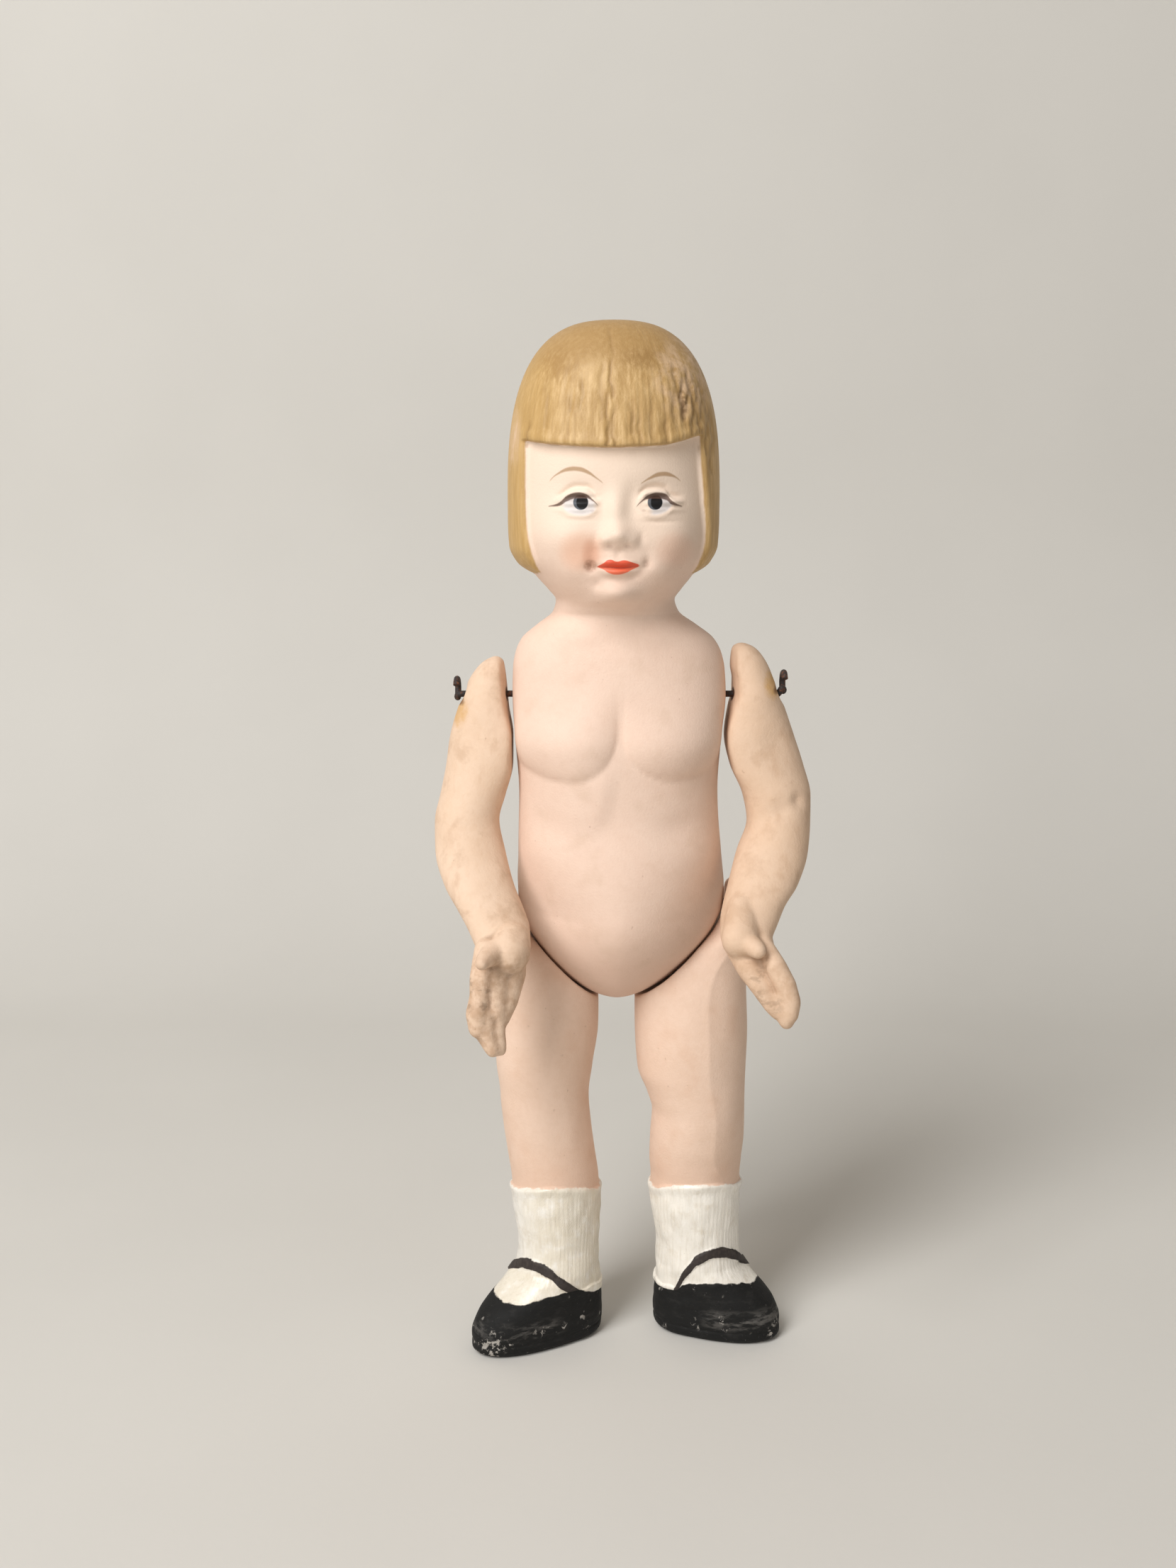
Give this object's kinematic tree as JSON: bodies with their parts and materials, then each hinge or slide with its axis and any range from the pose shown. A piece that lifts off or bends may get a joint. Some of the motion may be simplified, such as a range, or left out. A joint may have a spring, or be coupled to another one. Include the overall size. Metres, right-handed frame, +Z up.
{
  "type": "bisque doll",
  "caption": "Standing stiff-necked bisque doll with moulded bob, painted face, socks and shoes, its arms and legs swinging on iron wires.",
  "frame": {"origin": "under the middle of the doll's box, on the surface it stands on", "axes": "+Z up from the soles to the crown, -Y out of the doll's face, -X to the doll's own right hand"},
  "size_m": [0.065, 0.0436, 0.18],
  "materials": {
    "bisque": "matte tinted bisque with painted hair and face",
    "arm_bisque": "matte tinted bisque, soiled and rust stained",
    "leg_bisque": "matte tinted bisque with painted white socks and black shoes",
    "iron": "dark rusty drawn wire"
  },
  "bodies": {
    "torso": {"head_torso": "bisque", "shoulder_wire": "iron", "hip_wire": "iron"},
    "right_arm": {"right_arm": "arm_bisque"},
    "left_arm": {"left_arm": "arm_bisque"},
    "right_leg": {"right_leg": "leg_bisque"},
    "left_leg": {"left_leg": "leg_bisque"}
  },
  "joints": [
    {"name": "right_shoulder", "type": "hinge", "parent": "torso", "child": "right_arm", "pos_m": [-0.02385, 0.00385, 0.118], "axis": [-1, 0, 0], "range_deg": [0, 135]},
    {"name": "left_shoulder", "type": "hinge", "parent": "torso", "child": "left_arm", "pos_m": [0.02175, 0.00385, 0.118], "axis": [-1, 0, 0], "range_deg": [0, 135]},
    {"name": "right_hip", "type": "hinge", "parent": "torso", "child": "right_leg", "pos_m": [-0.02185, 0.00685, 0.0805], "axis": [-1, 0, 0], "range_deg": [-45, 35]},
    {"name": "left_hip", "type": "hinge", "parent": "torso", "child": "left_leg", "pos_m": [0.01975, 0.00685, 0.0805], "axis": [-1, 0, 0], "range_deg": [-45, 35]}
  ]
}
